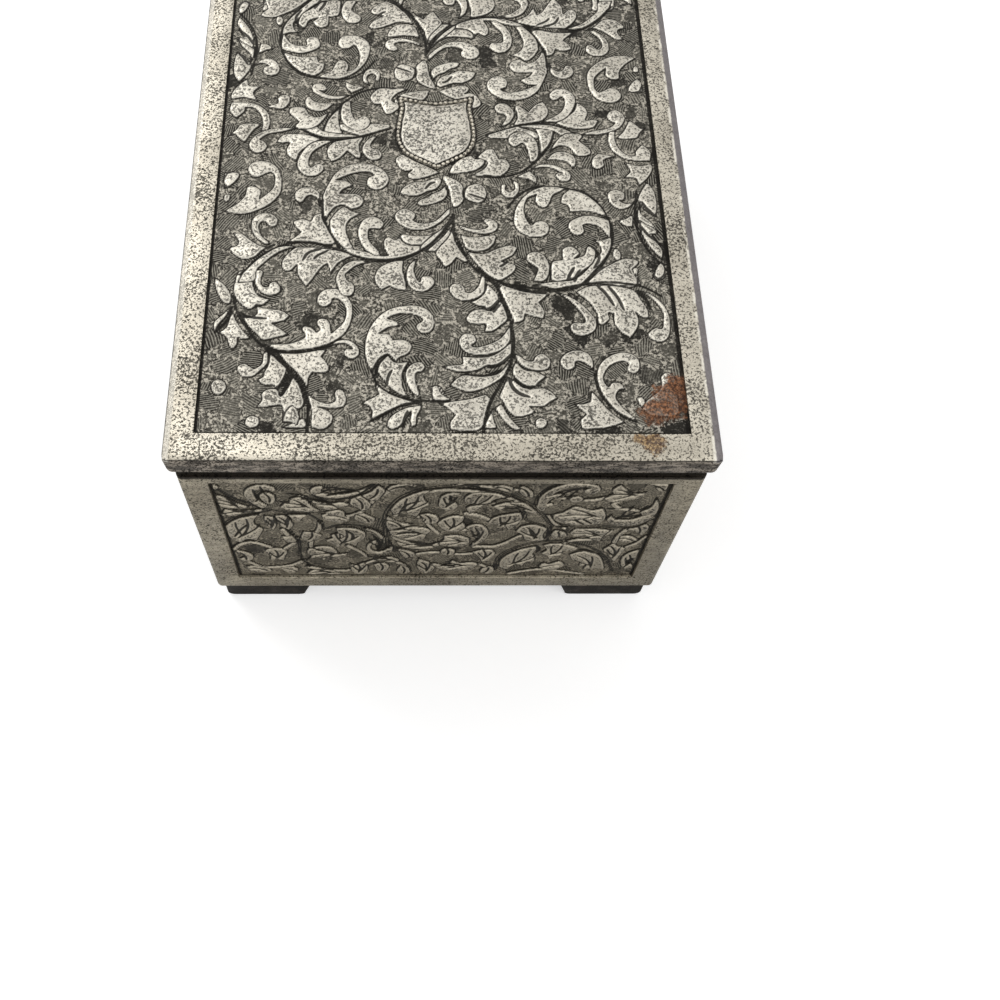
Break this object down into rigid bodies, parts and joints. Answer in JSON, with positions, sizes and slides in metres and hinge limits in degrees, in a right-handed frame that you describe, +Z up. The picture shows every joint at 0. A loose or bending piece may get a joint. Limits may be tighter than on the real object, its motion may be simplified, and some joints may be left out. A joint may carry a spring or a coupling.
{
  "type": "music box",
  "caption": "Rectangular cast metal music box with a hinged ornamented lid, bracket feet, a lined keepsake tray and a wind-up cylinder movement.",
  "frame": {"origin": "bottom centre of the bounding box, on the surface that the feet stand on", "axes": "+X to the right seen from the front, +Y from the front short side towards the hinge, +Z up"},
  "size_m": [0.065, 0.1034, 0.0448],
  "materials": {
    "silver": "silver plate, pitted and toned dark in the ground",
    "hinge_silver": "tarnished silver plate",
    "foot": "dark brown tarnish",
    "base": "dull plated sheet",
    "screw_steel": "plated steel",
    "board": "stained board",
    "velvet": "deep red velvet",
    "cast_zinc": "dull cast metal",
    "brass": "satin brass",
    "steel": "ground steel",
    "spring_steel": "blued spring steel"
  },
  "bodies": {
    "case": {"box_body": "silver", "body_hinge_knuckles": "hinge_silver", "foot_front_left": "foot", "foot_front_right": "foot", "foot_rear_right": "foot", "foot_rear_left": "foot", "base_plate": "base", "base_screw_1": "screw_steel", "base_screw_2": "screw_steel", "base_screw_3": "screw_steel", "base_screw_4": "screw_steel", "movement_screw_1": "screw_steel", "movement_screw_2": "screw_steel", "movement_screw_3": "screw_steel", "bracket_screw_1": "screw_steel", "bracket_screw_2": "screw_steel", "bracket_screw_3": "screw_steel", "bracket_screw_4": "screw_steel", "comb_screw_1": "screw_steel", "comb_screw_2": "screw_steel", "comb_screw_3": "screw_steel", "cock_screw_1": "screw_steel", "cock_screw_2": "screw_steel", "partition": "board", "tray_lining": "velvet", "bedplate": "cast_zinc", "cylinder_bracket_left": "cast_zinc", "cylinder_bracket_right": "cast_zinc", "comb_base": "cast_zinc", "governor_cock": "cast_zinc", "stop_guide": "cast_zinc", "hinge_pin": "steel", "click_pivot": "steel", "music_comb": "steel"},
    "lid": {"lid_shell": "silver", "lid_lining": "velvet", "lid_hinge_knuckles": "hinge_silver"},
    "barrel": {"spring_barrel": "brass", "barrel_cover": "brass", "mainspring": "spring_steel"},
    "winder": {"winding_arbor": "steel", "ratchet_wheel": "steel", "winding_key": "steel"},
    "click": {"ratchet_click": "steel"},
    "cylinder": {"music_cylinder": "brass", "cylinder_arbor": "steel", "cylinder_pinion": "steel", "cylinder_wheel": "brass"},
    "governor": {"governor_arbor": "steel", "governor_pinion": "steel", "worm_wheel": "brass"},
    "fan_worm": {"worm": "steel", "fan": "brass"},
    "stop": {"stop_wire": "steel"}
  },
  "joints": [
    {"name": "lid_hinge", "type": "hinge", "parent": "case", "child": "lid", "pos_m": [0, 0.0504, 0.0416], "axis": [-1, 0, 0], "range_deg": [0, 100]},
    {"name": "stop_slide", "type": "slide", "parent": "case", "child": "stop", "axis": [0, 0, 1], "range_m": [0, 0.002]},
    {"name": "key_winding", "type": "hinge", "parent": "case", "child": "winder", "pos_m": [-0.0149, 0.0284, 0.01], "axis": [0, 0, 1], "range_deg": [0, 1800]},
    {"name": "click_pivot", "type": "hinge", "parent": "case", "child": "click", "pos_m": [-0.0191, 0.023, 0.0099], "axis": [0, 0, -1], "range_deg": [0, 10], "stiffness_Nm_per_rad": 0.0002},
    {"name": "cylinder_spin", "type": "hinge", "parent": "case", "child": "cylinder", "pos_m": [0.0073, 0.0284, 0.02293], "axis": [1, 0, 0], "continuous": true},
    {"name": "barrel_spin", "type": "hinge", "parent": "case", "child": "barrel", "pos_m": [-0.0149, 0.0284, 0.015], "axis": [0, 0, 1], "continuous": true},
    {"name": "governor_spin", "type": "hinge", "parent": "case", "child": "governor", "pos_m": [0.0218, 0.02045, 0.01498], "axis": [1, 0, 0], "continuous": true},
    {"name": "fan_spin", "type": "hinge", "parent": "case", "child": "fan_worm", "pos_m": [0.0237, 0.01515, 0.01498], "axis": [0, 0, 1], "continuous": true}
  ],
  "couplings": [
    {"joint": "stop_slide", "follows": "lid_hinge", "m_per_rad": 0.001145},
    {"joint": "barrel_spin", "follows": "cylinder_spin", "ratio": 0.33333},
    {"joint": "governor_spin", "follows": "cylinder_spin", "ratio": -4},
    {"joint": "fan_spin", "follows": "cylinder_spin", "ratio": -64}
  ]
}
